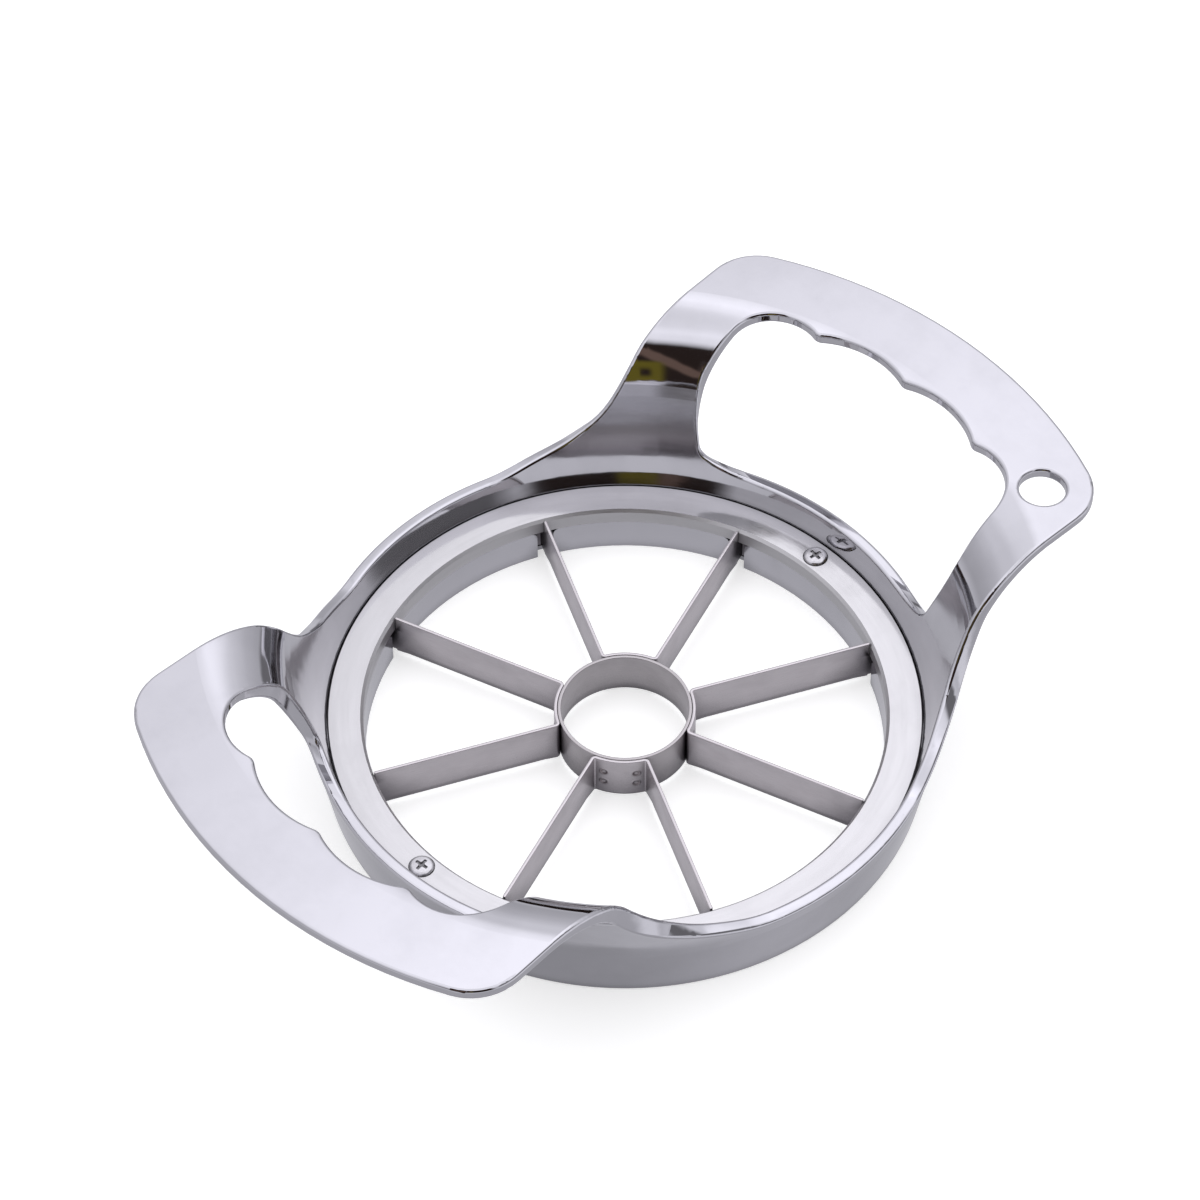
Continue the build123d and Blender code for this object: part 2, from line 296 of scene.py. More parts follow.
def make_object(name, points, faces):
    """A mesh object from points and faces, smooth except at sharp edges."""
    mesh = bpy.data.meshes.new(name)
    mesh.from_pydata(points, [], faces)
    if mesh.validate():
        raise RuntimeError(f"{name} has faces that don't hold")
    mesh.shade_smooth()
    mesh.set_sharp_from_angle(angle=SHARP_EDGE)
    piece = bpy.data.objects.new(name, mesh)
    bpy.context.scene.collection.objects.link(piece)
    return piece


def set_uv(piece, places):
    """UV map from one (u, v) for each point, in centimetres along and across the piece."""
    layer = piece.data.uv_layers.new(name="grain")
    for loop in piece.data.loops:
        layer.data[loop.index].uv = places[loop.vertex_index]


def set_mark(piece, name, values):
    """A float on each point that the material reads by name."""
    mark = piece.data.attributes.new(name, "FLOAT", "POINT")
    mark.data.foreach_set("value", values)


def stand_in(piece, node, material):
    """Puts a finished piece in the place of its CAD node."""
    piece.data.materials.append(material)
    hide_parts(node)
    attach(piece, "root")


def arc(centre, radius, start, end, count):
    """Points of an arc with the outward direction at each, as (x, y, nx, ny)."""
    around = [(cos(a), sin(a)) for a in spread(start, end, count)]
    return [(centre[0] + radius * c, centre[1] + radius * s, c, s) for c, s in around]


def strip_line(sizes):
    """Half of a strip's middle line, from the middle of its wrap to the end of one tab.

    Each entry is (x, y, side x, side y, path length, part), in the strip's own frame. The side points
    away from the coring tube round the wrap and goes with the strip through its folds.
    """
    turn = sizes.fold
    fold_out = sqrt((sizes.wrap + turn) ** 2 - turn**2)
    lean = atan2(turn, fold_out)
    line = []
    for x, y, c, s in arc((0, 0), sizes.wrap, 0, HALF_WEDGE - lean, 40):
        line.append((x, y, c, s, "wrap"))
    spin = Matrix.Rotation(HALF_WEDGE, 2)

    def add(x, y, c, s, part):
        """Adds a point that is given with the blade lying along +X."""
        place, side = spin @ Vector((x, y)), spin @ Vector((c, s))
        line.append((place.x, place.y, side.x, side.y, part))

    # The fold from the wrap into the blade, the blade, and its narrow end that goes through the lip.
    for x, y, c, s in arc((fold_out, -turn), turn, pi - lean, pi / 2, 9)[1:]:
        add(x, y, -c, -s, "wrap")
    end_edge = 0.00025
    tab_in = sqrt((sizes.tab_radius - turn) ** 2 - turn**2)
    run = spread(fold_out, sizes.reach - end_edge, 16)[1:]
    for x in run + [sizes.reach - 0.4 * end_edge, sizes.reach]:
        add(x, 0, 0, -1, "blade")
    for x in spread(sizes.reach, tab_in, 4)[1:]:
        add(x, 0, 0, -1, "tab")
    # The fold of the tab and the tab itself, bent round behind the lip.
    tilt = atan2(turn, tab_in)
    for x, y, c, s in arc((tab_in, turn), turn, -pi / 2, tilt, 8)[1:]:
        add(x, y, c, s, "tab")
    ahead = sizes.tab_length / sizes.tab_radius
    for x, y, c, s in arc((0, 0), sizes.tab_radius, tilt, ahead, 9)[1:]:
        add(x, y, c, s, "tab")
    # The path length of each point.
    far = 0.0
    measured = []
    for i, (x, y, c, s, part) in enumerate(line):
        if i:
            far += hypot(x - line[i - 1][0], y - line[i - 1][1])
        measured.append((x, y, c, s, far, part))
    return measured


def strip_rows(sizes):
    """Heights of the rows of a strip, with its rounded upper edge and ground lower edge."""
    weld_rows = spread(0.0027, 0.0074, 37)
    nearest = min(range(len(weld_rows)), key=lambda i: abs(weld_rows[i] - sizes.tab_top))
    weld_rows[nearest] = sizes.tab_top
    low = [sizes.bottom, sizes.bottom + 0.00012, sizes.tab_bottom, 0.0015, 0.0019, 0.0023]
    high = [0.0080, 0.0087, sizes.top - 0.0002, sizes.top - 0.0001, sizes.top - 0.00003, sizes.top]
    return low + weld_rows + high


def strip_thickness(sizes, x, y, z, part):
    """Share of the full thickness at a place: edges are rounded, and the blades are ground below."""
    top_share, end_share, bottom_share, cutting_share = 0.62, 0.7, 0.7, 0.12
    rounded, broken, ground_height = 0.0002, 0.0001, 0.0011
    root, root_fade, end_fade = 0.0008, 0.0012, 0.0008
    share = 1.0
    gap = sizes.top - z
    if gap < rounded:
        share = min(share, rise(top_share, sqrt(1 - (1 - gap / rounded) ** 2)))
    if part == "blade":
        away = hypot(x, y)
        end = sizes.reach - away
        fade = ease((away - sizes.wrap - root) / root_fade) * ease(end / end_fade)
        ground = rise(cutting_share, min(1.0, (z - sizes.bottom) / ground_height))
        share = min(share, 1 + (ground - 1) * fade)
        if end < rounded and not sizes.tab_bottom <= z <= sizes.tab_top:
            share *= rise(end_share, end / rounded)
    if z - sizes.bottom < broken:
        share = min(share, bottom_share)
    return share


def weld_form(x, y):
    """Outward offset and stain of a spot weld at this place from its middle, in weld radii."""
    bowl_depth, bowl_flat, bowl_side = 0.00012, 0.45, 0.4
    lip_height, lip_radius, lip_width = 0.00008, 1.05, 0.17
    stain_radius, stain_width = 0.75, 0.38
    away = hypot(x, y)
    bowl = -bowl_depth * (1 - ease((away - bowl_flat) / bowl_side))
    lip = lip_height * bell(away, lip_radius, lip_width)
    return bowl + lip, bell(away, stain_radius, stain_width)


def weld_relief(sizes, far, z):
    """Outward offset and stain of all spot welds on a wrap, this far along it from its middle."""
    radius = sizes.weld_diameter / 2
    middle_height = (sizes.top + sizes.bottom) / 2
    bump, stain = 0.0, 0.0
    for angle, height in WELD_PLACES:
        across = (far - radians(angle) * sizes.wrap) / radius
        offset, tint = weld_form(across, (z - middle_height - height) / radius)
        bump += offset
        stain = max(stain, tint)
    return bump, stain


def rim_rub(z, bottom, top):
    """How much a height is rubbed, from 0 on the faces to 1 at the rims."""
    return max(0.0, 1 - (top - z) / RUBBED_HEIGHT, 1 - (z - bottom) / RUBBED_HEIGHT)


def strip_faces(sizes, line, rows):
    """Faces of a strip with all its free edges closed. Each place has an outer and an inner point."""
    count = len(rows)
    slack = 1e-7

    def there(i, j):
        """Whether the strip has a cell between these columns and rows."""
        if not (0 <= i < len(line) - 1 and 0 <= j < count - 1):
            return False
        if "tab" in (line[i][5], line[i + 1][5]):
            return sizes.tab_bottom <= rows[j] + slack and rows[j + 1] <= sizes.tab_top + slack
        return True

    def corner(i, j, side):
        """Number of the outer (0) or inner (1) point of a column and row."""
        return (i * count + j) * 2 + side

    faces = []
    for i in range(len(line) - 1):
        for j in range(count - 1):
            if not there(i, j):
                continue
            ring = [(i, j), (i + 1, j), (i + 1, j + 1), (i, j + 1)]
            faces.append([corner(*p, 0) for p in ring])
            faces.append([corner(*p, 1) for p in reversed(ring)])
            beside = [(i, j - 1), (i + 1, j), (i, j + 1), (i - 1, j)]
            for n, (a, b) in enumerate(zip(ring, ring[1:] + ring[:1])):
                if not there(*beside[n]):
                    faces.append([corner(*a, 0), corner(*a, 1), corner(*b, 1), corner(*b, 0)])
    return faces


def make_strip(name, sizes, middle):
    """One steel strip: a blade, a wrap round an eighth of the coring tube, and a second blade."""
    half_line = strip_line(sizes)
    mirrored = [(x, -y, c, -s, -far, part) for x, y, c, s, far, part in half_line[:0:-1]]
    line = mirrored + half_line
    rows = strip_rows(sizes)
    spin = Matrix.Rotation(middle, 2)
    weld_reach = 0.0040
    points, places, welds, rubs = [], [], [], []
    for x, y, c, s, far, part in line:
        for z in rows:
            half = sizes.thickness / 2 * strip_thickness(sizes, x, y, z, part)
            welded = part == "wrap" and abs(far) < weld_reach
            bump, stain = weld_relief(sizes, far, z) if welded else (0.0, 0.0)
            sides = ((half + bump, 0.0, stain), (-half, GRAIN_INNER, 0.0))
            for out, grain_start, weld in sides:
                place = spin @ Vector((x + c * out, y + s * out))
                points.append((place.x, place.y, z))
                places.append((far * GRAIN_UNITS, z * GRAIN_UNITS + grain_start))
                welds.append(weld)
                rubs.append(rim_rub(z, sizes.bottom, sizes.top))

    faces = strip_faces(sizes, line, rows)
    used = sorted({p for face in faces for p in face})
    new = {old: i for i, old in enumerate(used)}
    faces = [[new[p] for p in face] for face in faces]
    piece = make_object(name, [points[p] for p in used], faces)
    set_uv(piece, [places[p] for p in used])
    set_mark(piece, "weld", [welds[p] for p in used])
    set_mark(piece, "rubbed", [rubs[p] for p in used])
    return piece


def make_turned(name, rings, closed):
    """A piece from rings of points, one inside the other. A closed one joins its last ring to its first."""
    steps = len(rings[0])
    points = [p for ring in rings for p in ring]
    faces = []
    last = len(rings) if closed else len(rings) - 1
    for i in range(last):
        for k in range(steps):
            a, b = i * steps, ((i + 1) % len(rings)) * steps
            n = (k + 1) % steps
            faces.append((a + k, b + k, b + n, a + n))
    if not closed:
        for ring, flip in ((0, False), (len(rings) - 1, True)):
            middle = sum((Vector(p) for p in rings[ring]), Vector()) / steps
            points.append(tuple(middle))
            for k in range(steps):
                a, n = ring * steps + k, ring * steps + (k + 1) % steps
                faces.append((n, a, len(points) - 1) if flip else (a, n, len(points) - 1))
    return make_object(name, points, faces)


def make_tube(name, sizes, bottom, top):
    """Coring tube with rounded upper edges and a lower edge ground to cut."""
    outer, inner = sizes.radius, sizes.radius - sizes.wall
    soft, bevel, edge_break = 0.00013, 0.00034, 0.00006
    flat_top = top - soft - 0.0004
    quarter = spread(0, pi / 2, 5)
    profile = [(inner + bevel, bottom), (outer - edge_break, bottom), (outer, bottom + 2 * edge_break)]
    profile += [(outer, z) for z in spread(bottom + 0.001, flat_top, 8)]
    profile += [(outer - soft + soft * cos(a), top - soft + soft * sin(a)) for a in quarter]
    outer_rings = len(profile)
    profile += [(inner + soft - soft * sin(a), top - soft + soft * cos(a)) for a in quarter]
    profile += [(inner, z) for z in spread(flat_top, bottom + 0.0012, 8)]
    turns = [tau * k / sizes.steps for k in range(sizes.steps)]
    piece = make_turned(name, [[(r * cos(a), r * sin(a), z) for a in turns] for r, z in profile], True)
    places = []
    for n, (r, z) in enumerate(profile):
        grain_start = 0.0 if n < outer_rings else GRAIN_INNER
        for a in turns:
            places.append((a * sizes.radius * GRAIN_UNITS, z * GRAIN_UNITS + grain_start))
    set_uv(piece, places)
    set_mark(piece, "weld", [0.0] * len(places))
    set_mark(piece, "rubbed", [rim_rub(z, bottom, top) for r, z in profile for a in turns])
    return piece


def cross_depth(x, y, depth):
    """Depth of the cross recess at a place on the head, in metres from its middle."""
    wing_length, wing_half_width, hub_radius = 0.00112, 0.00027, 0.00046
    end_soft, side_soft, hub_soft = 0.00016, 0.00010, 0.00012
    narrowing, rising = 0.03, 0.42
    along, across = max(abs(x), abs(y)), min(abs(x), abs(y))
    width = wing_half_width - narrowing * along
    side, end = ease((width - across) / side_soft + 0.5), ease((wing_length - along) / end_soft + 0.5)
    hub = ease((hub_radius - hypot(x, y)) / hub_soft + 0.5)
    taper = 1 - rising * along / wing_length
    return max(side * end, hub) * depth * taper


def head_top(sizes, r):
    """Height of the head's smooth top at this radius: a shallow dome with a rounded rim."""
    round_off, sag = 0.0007, 0.00006
    flat = sizes.head / 2 - round_off
    if r <= flat:
        return sizes.top - sag * (r / flat) ** 2
    drop = round_off - sqrt(max(0.0, round_off**2 - (r - flat) ** 2))
    return sizes.top - sag - drop * (round_off - sag) / round_off


def thread_radius(sizes, angle, z, seat):
    """Radius of the shank: smooth under the head, then cut with a thread, and thinner at the tip."""
    smooth, run_out, point, tip_share, flank = 0.0002, 0.0006, 0.0012, 0.72, 0.34
    outer = sizes.thread / 2
    core = outer - THREAD_DEPTH
    turn = (z / sizes.pitch + angle / tau) % 1.0
    ridge = max(0.0, 1 - abs(turn - 0.5) / flank)
    cut = ease((seat - smooth - z) / run_out)
    radius = core + (outer - core) * (1 - cut + cut * ridge)
    return radius * rise(tip_share, ease((z - sizes.tip) / point))


def make_screw(name, sizes, along):
    """Pan-head screw with a cross recess and a cut thread."""
    steps, cross_reach, rim_height, edge_break = 288, 0.0013, 0.0008, 0.00006
    radius = sizes.head / 2
    seat = sizes.top - sizes.head_height
    cross_turn = radians(9) if along > 0 else radians(-7)
    angles = [tau * k / steps for k in range(steps)]
    rings, marks = [], []

    def ring(places):
        """Adds a ring from one (radius, height, share of the recess) for each angle."""
        rings.append([(along + r * cos(a), r * sin(a), z) for a, (r, z, deep) in zip(angles, places)])
        marks.extend(deep for r, z, deep in places)

    def level(r, z):
        """Adds a level ring."""
        ring([(r, z, 0.0)] * steps)

    for r in spread(0.00004, cross_reach, 40):
        top = head_top(sizes, r)
        places = []
        for a in angles:
            depth = cross_depth(r * cos(a + cross_turn), r * sin(a + cross_turn), sizes.recess)
            places.append((r, top - depth, min(1.0, depth / sizes.recess)))
        ring(places)
    for r in spread(cross_reach + 0.00004, radius - 0.00001, 16):
        level(r, head_top(sizes, r))
    level(radius, sizes.top - rim_height)
    level(radius, seat + edge_break)
    level(radius - edge_break, seat)
    level(sizes.thread / 2 + 0.00002, seat)
    for z in spread(seat - 0.0003, sizes.tip + 0.0004, 90):
        ring([(thread_radius(sizes, a, z, seat), z, 0.0) for a in angles])
    level((sizes.thread / 2 - THREAD_DEPTH) * 0.55, sizes.tip)
    piece = make_turned(name, rings, False)
    middle_of_recess, middle_of_tip = 1.0, 0.0
    set_mark(piece, "recess", marks + [middle_of_recess, middle_of_tip])
    return piece


# ---------------------------------------------------------------- material code


def scaled(colour, *factors):
    """A colour made darker or lighter, by one factor or by one for each channel, with its alpha."""
    if len(factors) == 1:
        factors *= 3
    return tuple(c * f for c, f in zip(colour, factors)) + (1,)


class Recipe:
    """Adds nodes to the tree of a material or a world."""

    def __init__(self, tree):
        self.tree = tree
        tree.nodes.clear()

    def add(self, kind, values=None, **settings):
        """A node with these settings. A value is a number or colour, or a socket to join."""
        node = self.tree.nodes.new(kind)
        for key, value in settings.items():
            setattr(node, key, value)
        for key, value in (values or {}).items():
            if isinstance(value, bpy.types.NodeSocket):
                self.tree.links.new(value, node.inputs[key])
            else:
                node.inputs[key].default_value = value
        return node

    def math(self, operation, *values):
        """The result of one sum on numbers or sockets."""
        return self.add("ShaderNodeMath", dict(enumerate(values)), operation=operation).outputs[0]

    def remap(self, value, low, high, start, end, smooth=False):
        """A value moved from one range into another."""
        kind = "SMOOTHSTEP" if smooth else "LINEAR"
        sizes = {"Value": value, "From Min": low, "From Max": high, "To Min": start, "To Max": end}
        return self.add("ShaderNodeMapRange", sizes, interpolation_type=kind).outputs[0]

    def blend(self, share, first, second):
        """Two colours mixed by a share."""
        return self.add("ShaderNodeMix", {0: share, 6: first, 7: second}, data_type="RGBA").outputs[2]

    def noise(self, place, scale, detail=2.0, roughness=0.5, stretch=None):
        """Noise at this many cells to the metre, stretched along the axes where asked."""
        if stretch:
            place = self.add("ShaderNodeMapping", {"Vector": place, "Scale": stretch}).outputs[0]
        sizes = {"Vector": place, "Scale": scale, "Detail": detail, "Roughness": roughness}
        return self.add("ShaderNodeTexNoise", sizes).outputs[0]

    def axis_part(self, place, axis):
        """One coordinate of a place or direction."""
        return self.add("ShaderNodeSeparateXYZ", {0: place}).outputs[axis]

    def turned_place(self, place, stretch):
        """Radius from the Z axis, and a place for marks that run round it, stretched round the axis."""
        parts = self.add("ShaderNodeSeparateXYZ", {0: place}).outputs
        squares = [self.math("POWER", parts[axis], 2) for axis in (0, 1)]
        radius = self.math("SQRT", self.math("ADD", *squares))
        around = self.math("MULTIPLY", self.math("ARCTAN2", parts[1], parts[0]), stretch)
        return radius, self.add("ShaderNodeCombineXYZ", {0: radius, 1: around, 2: parts[2]}).outputs[0]

    def corners(self, distance, open_share, closed_share, most):
        """Share of painted shade where a surface runs into another one within this distance."""
        node = self.add("ShaderNodeAmbientOcclusion", {"Distance": distance}, samples=8)
        return self.remap(node.outputs["AO"], open_share, closed_share, 0.0, most)

    def bump(self, height, distance, normal=None):
        """Relief of this many metres, over another relief where one is given."""
        values = {"Height": height, "Distance": distance, "Strength": 1.0}
        if normal:
            values["Normal"] = normal
        return self.add("ShaderNodeBump", values).outputs[0]


def new_material(name):
    """An empty metal material with its recipe and shader."""
    material = bpy.data.materials.new(name)
    material.use_nodes = True
    recipe = Recipe(material.node_tree)
    shader = recipe.add("ShaderNodeBsdfPrincipled", {"Metallic": 1.0})
    output = recipe.add("ShaderNodeOutputMaterial")
    recipe.tree.links.new(shader.outputs[0], output.inputs[0])
    return material, recipe, shader


def join(recipe, value, shader, socket):
    """Joins a value to one socket of the shader."""
    recipe.tree.links.new(value, shader.inputs[socket])


def polished_chrome(look):
    """Bright plating over a cast surface: faint ripples, hazy patches, dulled edges with a painted
    highlight, painted shade where faces meet, and satin walls.
    """
    material, recipe, shader = new_material("polished chrome")
    place = recipe.add("ShaderNodeTexCoord").outputs["Object"]
    surface = recipe.add("ShaderNodeNewGeometry").outputs
    # Pointed edges: worn, so rougher, and given a painted highlight in the colour further down.
    worn = recipe.remap(surface["Pointiness"], 0.52, 0.60, 0.0, 1.0, smooth=True)
    # A face is level at 1 and upright at 0. The bends lie between.
    level = recipe.math("ABSOLUTE", recipe.axis_part(surface["Normal"], 2))
    steep = recipe.remap(level, 0.44, 0.36, 0.0, 1.0, smooth=True)
    bent = recipe.remap(level, 0.94, 0.78, 0.0, 1.0, smooth=True)
    # The outside of the ring's wall and the foot of the arms, by their distance from the Z axis.
    away, lay = recipe.turned_place(place, 0.003)
    band = recipe.math("MULTIPLY", recipe.remap(away, 0.066, 0.062, 0.0, 1.0, smooth=True),
                       recipe.remap(away, 0.0522, 0.0545, 0.25, 1.0, smooth=True))
    walls = recipe.math("MULTIPLY", steep, band)
    drawn = recipe.math("MULTIPLY", recipe.noise(lay, 1300, detail=3, roughness=0.6), walls)
    haze = recipe.noise(place, 70, detail=4, roughness=0.6)
    smears = recipe.noise(place, 900, detail=3, roughness=0.65, stretch=(1, 0.15, 0.4))
    rough = recipe.math("ADD", recipe.remap(haze, 0.35, 0.72, look.polish * 0.7, look.polish * 1.6),
                        recipe.remap(smears, 0.55, 0.8, 0.0, 0.03))
    rough = recipe.math("ADD", rough, recipe.math("MULTIPLY", worn, 0.07))
    rough = recipe.math("ADD", rough, recipe.math("MULTIPLY", walls, look.satin))
    join(recipe, rough, shader, "Roughness")
    tone = recipe.blend(recipe.remap(haze, 0.42, 0.7, 0.0, 1.0), scaled(look.chrome, 1),
                        scaled(look.chrome, 0.93))
    # Painted highlight: the colour is lighter on the pointed edges.
    tone = recipe.blend(recipe.math("MULTIPLY", worn, 0.6), tone, scaled(look.chrome, 1.12))
    # Painted shade: the plating is darkened where faces meet, as if shade fell there.
    corner = recipe.corners(distance=0.005, open_share=0.68, closed_share=0.30, most=0.85)
    tone = recipe.blend(corner, tone, scaled(look.chrome, 0.35))
    join(recipe, tone, shader, "Base Color")
    wave = recipe.noise(place, 85, detail=1, roughness=0.4)
    grain = recipe.noise(place, 2600, detail=2, roughness=0.6)
    dents = recipe.math("MULTIPLY", recipe.noise(place, 95, detail=2, roughness=0.5), bent)
    soft = recipe.bump(dents, look.ripple * 4, normal=recipe.bump(wave, look.ripple * 2.2))
    soft = recipe.bump(drawn, look.drawn, normal=soft)
    join(recipe, recipe.bump(grain, look.ripple * 0.02, normal=soft), shader, "Normal")
    return material


def turned_steel(look):
    """Ring face with fine turning marks about its centre, and light handling marks."""
    material, recipe, shader = new_material("turned steel")
    place = recipe.add("ShaderNodeTexCoord").outputs["Object"]
    lay = recipe.turned_place(place, 0.004)[1]
    marks = recipe.noise(lay, 1 / look.groove, detail=3, roughness=0.6)
    broad = recipe.noise(lay, 900, detail=2)
    haze = recipe.noise(place, 130, detail=4, roughness=0.6)
    rough = recipe.math("ADD", recipe.remap(haze, 0.3, 0.75, look.satin * 0.8, look.satin * 1.5),
                        recipe.remap(marks, 0.3, 0.7, -0.02, 0.03))
    normal = recipe.add("ShaderNodeNewGeometry").outputs["Normal"]
    level = recipe.math("ABSOLUTE", recipe.axis_part(normal, 2))
    rough = recipe.math("ADD", rough, recipe.remap(level, 0.97, 0.85, 0.0, 0.24, smooth=True))
    join(recipe, rough, shader, "Roughness")
    dull = scaled(look.steel, 0.90)
    tone = recipe.blend(recipe.remap(broad, 0.35, 0.7, 0.0, 0.55), scaled(look.steel, 1), dull)
    tone = recipe.blend(recipe.remap(haze, 0.5, 0.75, 0.0, 0.6), tone, dull)
    # Painted shade: the ring is darkened where faces meet, as if shade fell there.
    corner = recipe.corners(distance=0.007, open_share=0.68, closed_share=0.30, most=0.9)
    tone = recipe.blend(corner, tone, scaled(look.steel, 0.35))
    join(recipe, tone, shader, "Base Color")
    height = recipe.math("ADD", marks, recipe.math("MULTIPLY", broad, 1.5))
    join(recipe, recipe.bump(height, 0.0000012), shader, "Normal")
    return material


def brushed_steel(look):
    """Rolled strip with grain along its length, smooth sheared edges, painted shade where faces meet and
    tinted welds.
    """
    material, recipe, shader = new_material("brushed steel")
    coordinates = recipe.add("ShaderNodeTexCoord").outputs
    weld = recipe.add("ShaderNodeAttribute", attribute_name="weld").outputs["Fac"]
    lay = coordinates["UV"]
    streaks = recipe.noise(lay, 100, detail=4, roughness=0.65, stretch=(0.035, 1, 1))
    fine = recipe.noise(lay, 420, detail=2, roughness=0.6, stretch=(0.02, 1, 1))
    cloud = recipe.noise(lay, 2.2, detail=3, roughness=0.6, stretch=(0.6, 1, 1))
    worn = recipe.add("ShaderNodeAttribute", attribute_name="rubbed").outputs["Fac"]
    dark = scaled(look.steel, 0.80)
    tint = scaled(look.steel, 0.30, 0.26, 0.25)
    # Colour of the painted shade where faces meet.
    shade = scaled(look.steel, 0.17, 0.165, 0.18)
    tone = recipe.blend(recipe.remap(streaks, 0.3, 0.75, 0.0, 0.6), scaled(look.steel, 1), dark)
    tone = recipe.blend(recipe.remap(cloud, 0.45, 0.75, 0.0, 0.5), tone, dark)
    tone = recipe.blend(recipe.math("MULTIPLY", worn, 0.9), tone, dark)
    tone = recipe.blend(recipe.math("MULTIPLY", weld, 0.85), tone, tint)
    # Painted shade: the steel is darkened where faces meet, near the folds and the ends of the blades.
    corner = recipe.corners(distance=0.010, open_share=0.74, closed_share=0.36, most=0.9)
    tone = recipe.blend(corner, tone, shade)
    join(recipe, tone, shader, "Base Color")
    rough = recipe.math("ADD", recipe.remap(streaks, 0.3, 0.75, look.brushed * 0.8, look.brushed * 1.25),
                        recipe.remap(cloud, 0.3, 0.7, -0.04, 0.05))
    rough = recipe.math("SUBTRACT", rough, recipe.math("MULTIPLY", worn, 0.12))
    join(recipe, rough, shader, "Roughness")
    height = recipe.math("ADD", recipe.math("MULTIPLY", streaks, 1.4), fine)
    join(recipe, recipe.bump(height, 0.0000035), shader, "Normal")
    return material


def screw_steel(look):
    """Bright plated screw, with painted shade down in its recess, which is also rougher."""
    material, recipe, shader = new_material("plated screw steel")
    place = recipe.add("ShaderNodeTexCoord").outputs["Object"]
    deep = recipe.add("ShaderNodeAttribute", attribute_name="recess").outputs["Fac"]
    mottle = recipe.noise(place, 1500, detail=4, roughness=0.65)
    scratches = recipe.noise(place, 5200, detail=2, roughness=0.6, stretch=(1, 0.12, 1))
    tone = recipe.blend(recipe.remap(mottle, 0.4, 0.72, 0.0, 0.8), scaled(look.steel, 1),
                        scaled(look.steel, 0.82))
    # Painted shade: the cross recess is darkened as if shade fell into it.
    painted_recess_shade = scaled(look.steel, 0.22)
    tone = recipe.blend(recipe.remap(deep, 0.12, 0.85, 0.0, 0.85, smooth=True), tone, painted_recess_shade)
    join(recipe, tone, shader, "Base Color")
    rough = recipe.math("ADD", recipe.remap(mottle, 0.3, 0.75, 0.14, 0.30),
                        recipe.math("MULTIPLY", deep, 0.2))
    join(recipe, rough, shader, "Roughness")
    height = recipe.math("ADD", mottle, recipe.math("MULTIPLY", scratches, 0.4))
    join(recipe, recipe.bump(height, 0.000006), shader, "Normal")
    return material


def floor_paint(look):
    """Pale matt floor that glows a little, so shadows stay light."""
    material, recipe, shader = new_material("pale floor")
    shader.inputs["Metallic"].default_value = 0.0
    place = recipe.add("ShaderNodeTexCoord").outputs["Object"]
    cloud = recipe.noise(place, 3, detail=3)
    tone = recipe.blend(cloud, scaled(look.floor, 1), scaled(look.floor, 0.985))
    join(recipe, tone, shader, "Base Color")
    join(recipe, recipe.remap(cloud, 0.3, 0.7, 0.85, 0.95), shader, "Roughness")
    shader.inputs["Specular IOR Level"].default_value = 0.1
    shader.inputs["Emission Color"].default_value = (1.0, 1.0, 1.0, 1.0)
    shader.inputs["Emission Strength"].default_value = 0.55
    return material


# ---------------------------------------------------------------- stage code


# Brightness of the surroundings by the height of a direction, -1 straight down to 1 straight up.
SKY = (
    (-1.0, 0.45), (-0.92, 0.46), (-0.81, 0.54), (-0.62, 0.54), (-0.40, 0.72), (-0.15, 0.72), (-0.03, 0.56),
    (0.0, 0.54), (0.17, 0.60), (0.34, 0.70), (0.50, 0.88), (0.64, 1.12), (0.715, 1.32), (0.766, 1.36),
    (0.87, 1.48), (0.94, 1.38), (0.975, 1.16), (1.0, 1.08),
)
SKY_TINT = (0.985, 0.98, 1.05)
SKY_LIMIT = 2  # the colour ramp stops at 1, so it holds the brightness divided by this

# Soft-edged parts of the surroundings, in degrees: heading from +X, half width of the full part and of
# the whole, then the height at which the lower edge is full and where it ends, and the same above.
LOW_GLOW = (-62, 12, 44, -24, -40, 22, 34)
DARK_CORNER = (-66, 22, 34, 15, 8, 33, 42)
DARK_GAP = (10, 14, 30, -9, -13, 1, 6)
ROOM = (-136, 28, 38, -2, -8, 50, 60)
BROWN_STRIP = (-149, 9, 13, 26, 20, 33, 38)
OLIVE_PATCH = (-139.5, 5, 8, 4, -1, 26, 32)
FIGURE = (-141, 0.2, 2.4, 13, 5, 15, 24)
STRIP_TURN, STRIP_LEAN = -58, -1.45  # the brown strip leans along this heading

SHADE_COLOUR = (0.10, 0.098, 0.105, 1)
ROOM_COLOUR = (0.014, 0.0095, 0.0085, 1)
BROWN_COLOUR = (0.085, 0.056, 0.046, 1)
OLIVE_COLOUR = (0.075, 0.062, 0.010, 1)


def along_heading(recipe, turned, heading):
    """How far a level direction points along this heading in degrees, from -1 to 1."""
    facing = (cos(radians(heading)), sin(radians(heading)), 0)
    dot = recipe.add("ShaderNodeVectorMath", {0: turned, 1: facing}, operation="DOT_PRODUCT")
    return dot.outputs["Value"]


def sky_lobe(recipe, turned, height, lobe):
    """Share of one soft-edged part of the surroundings."""
    heading, near, far, low, low_soft, high, high_soft = lobe
    dot = along_heading(recipe, turned, heading)
    side = recipe.remap(dot, cos(radians(far)), cos(radians(near)), 0, 1, smooth=True)
    over = recipe.remap(height, sin(radians(low_soft)), sin(radians(low)), 0, 1, smooth=True)
    under = recipe.remap(height, sin(radians(high_soft)), sin(radians(high)), 0, 1, smooth=True)
    return recipe.math("MULTIPLY", side, recipe.math("MULTIPLY", over, under))


